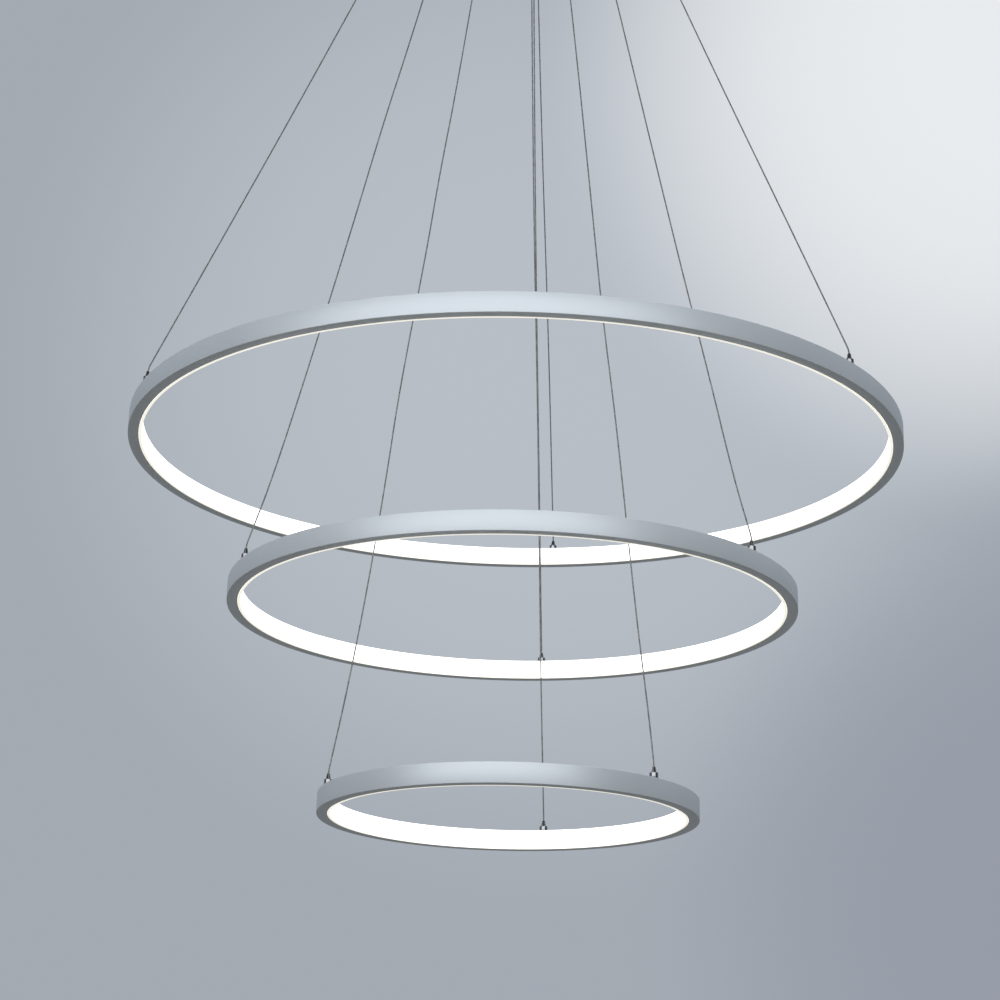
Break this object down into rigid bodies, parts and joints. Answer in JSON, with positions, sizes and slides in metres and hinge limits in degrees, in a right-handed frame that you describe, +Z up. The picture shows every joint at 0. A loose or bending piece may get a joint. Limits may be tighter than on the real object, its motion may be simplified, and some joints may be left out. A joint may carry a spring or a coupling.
{
  "type": "led ring chandelier",
  "caption": "Tiered LED rings of stepped size on steel cables below a round ceiling canopy; each ring is an aluminium channel with an opal lens lighting inwards.",
  "frame": {"origin": "middle of the ceiling bracket's top face, where the light meets the ceiling", "axes": "+Z up, towards the ceiling; X along the bracket's strap, the seen side faces -Y"},
  "size_m": [0.8, 0.7999, 1.185],
  "materials": {
    "canopy_silver": "satin silver paint on spun steel",
    "zinc_steel": "zinc plated",
    "chrome_trim": "polished chrome on turned brass",
    "spring_steel": "bright drawn wire",
    "cable_steel": "stranded stainless cable",
    "ring_silver": "satin silver, rolled extrusion",
    "opal_lens": "opal silicone lens, lit from behind",
    "strip_white": "white strip with phosphor chips",
    "driver_plastic": "moulded, fine texture",
    "board_green": "solder mask",
    "terminal_plastic": "moulded nylon",
    "brass_screw": "nickel-free turned brass"
  },
  "bodies": {
    "canopy": {"ceiling_bracket": "zinc_steel", "canopy_cup": "canopy_silver", "canopy_side_screws": "chrome_trim", "earth_screw": "brass_screw", "gripper_bodies": "chrome_trim", "gripper_caps": "chrome_trim", "gripper_lock_nuts": "zinc_steel", "gripper_springs": "spring_steel", "driver_case": "driver_plastic", "driver_lid": "driver_plastic", "driver_board": "board_green", "mains_terminal_block": "terminal_plastic", "output_terminal_block": "terminal_plastic", "terminal_screws": "brass_screw", "cable_large_back": "cable_steel", "cable_large_left": "cable_steel", "cable_large_right": "cable_steel", "cable_medium_back": "cable_steel", "cable_medium_left": "cable_steel", "cable_medium_right": "cable_steel", "cable_small_back": "cable_steel", "cable_small_left": "cable_steel", "cable_small_right": "cable_steel"},
    "large_ring": {"large_channel": "ring_silver", "large_diffuser": "opal_lens", "large_led_strip": "strip_white", "large_cable_nipples": "chrome_trim", "large_nipple_nuts": "zinc_steel", "large_cable_stops": "spring_steel", "large_splice_plate": "zinc_steel", "large_splice_screws": "zinc_steel"},
    "medium_ring": {"medium_channel": "ring_silver", "medium_diffuser": "opal_lens", "medium_led_strip": "strip_white", "medium_cable_nipples": "chrome_trim", "medium_nipple_nuts": "zinc_steel", "medium_cable_stops": "spring_steel", "medium_splice_plate": "zinc_steel", "medium_splice_screws": "zinc_steel"},
    "small_ring": {"small_channel": "ring_silver", "small_diffuser": "opal_lens", "small_led_strip": "strip_white", "small_cable_nipples": "chrome_trim", "small_nipple_nuts": "zinc_steel", "small_cable_stops": "spring_steel", "small_splice_plate": "zinc_steel", "small_splice_screws": "zinc_steel"},
    "plunger_large_back": {"plunger_large_back": "chrome_trim"},
    "plunger_large_left": {"plunger_large_left": "chrome_trim"},
    "plunger_large_right": {"plunger_large_right": "chrome_trim"},
    "plunger_medium_back": {"plunger_medium_back": "chrome_trim"},
    "plunger_medium_left": {"plunger_medium_left": "chrome_trim"},
    "plunger_medium_right": {"plunger_medium_right": "chrome_trim"},
    "plunger_small_back": {"plunger_small_back": "chrome_trim"},
    "plunger_small_left": {"plunger_small_left": "chrome_trim"},
    "plunger_small_right": {"plunger_small_right": "chrome_trim"}
  },
  "joints": [
    {"name": "large_ring_height", "type": "slide", "parent": "canopy", "child": "large_ring", "axis": [0, 0, 1], "range_m": [0, 0.25], "deforming": ["cable_large_back", "cable_large_left", "cable_large_right"]},
    {"name": "medium_ring_height", "type": "slide", "parent": "canopy", "child": "medium_ring", "axis": [0, 0, 1], "range_m": [0, 0.25], "deforming": ["cable_medium_back", "cable_medium_left", "cable_medium_right"]},
    {"name": "small_ring_height", "type": "slide", "parent": "canopy", "child": "small_ring", "axis": [0, 0, 1], "range_m": [0, 0.25], "deforming": ["cable_small_back", "cable_small_left", "cable_small_right"]},
    {"name": "large_back_release", "type": "slide", "parent": "canopy", "child": "plunger_large_back", "axis": [0, 0, 1], "range_m": [0, 0.0018], "stiffness_N_per_m": 400, "springref_m": -0.002},
    {"name": "large_left_release", "type": "slide", "parent": "canopy", "child": "plunger_large_left", "axis": [0, 0, 1], "range_m": [0, 0.0018], "stiffness_N_per_m": 400, "springref_m": -0.002},
    {"name": "large_right_release", "type": "slide", "parent": "canopy", "child": "plunger_large_right", "axis": [0, 0, 1], "range_m": [0, 0.0018], "stiffness_N_per_m": 400, "springref_m": -0.002},
    {"name": "medium_back_release", "type": "slide", "parent": "canopy", "child": "plunger_medium_back", "axis": [0, 0, 1], "range_m": [0, 0.0018], "stiffness_N_per_m": 400, "springref_m": -0.002},
    {"name": "medium_left_release", "type": "slide", "parent": "canopy", "child": "plunger_medium_left", "axis": [0, 0, 1], "range_m": [0, 0.0018], "stiffness_N_per_m": 400, "springref_m": -0.002},
    {"name": "medium_right_release", "type": "slide", "parent": "canopy", "child": "plunger_medium_right", "axis": [0, 0, 1], "range_m": [0, 0.0018], "stiffness_N_per_m": 400, "springref_m": -0.002},
    {"name": "small_back_release", "type": "slide", "parent": "canopy", "child": "plunger_small_back", "axis": [0, 0, 1], "range_m": [0, 0.0018], "stiffness_N_per_m": 400, "springref_m": -0.002},
    {"name": "small_left_release", "type": "slide", "parent": "canopy", "child": "plunger_small_left", "axis": [0, 0, 1], "range_m": [0, 0.0018], "stiffness_N_per_m": 400, "springref_m": -0.002},
    {"name": "small_right_release", "type": "slide", "parent": "canopy", "child": "plunger_small_right", "axis": [0, 0, 1], "range_m": [0, 0.0018], "stiffness_N_per_m": 400, "springref_m": -0.002}
  ]
}
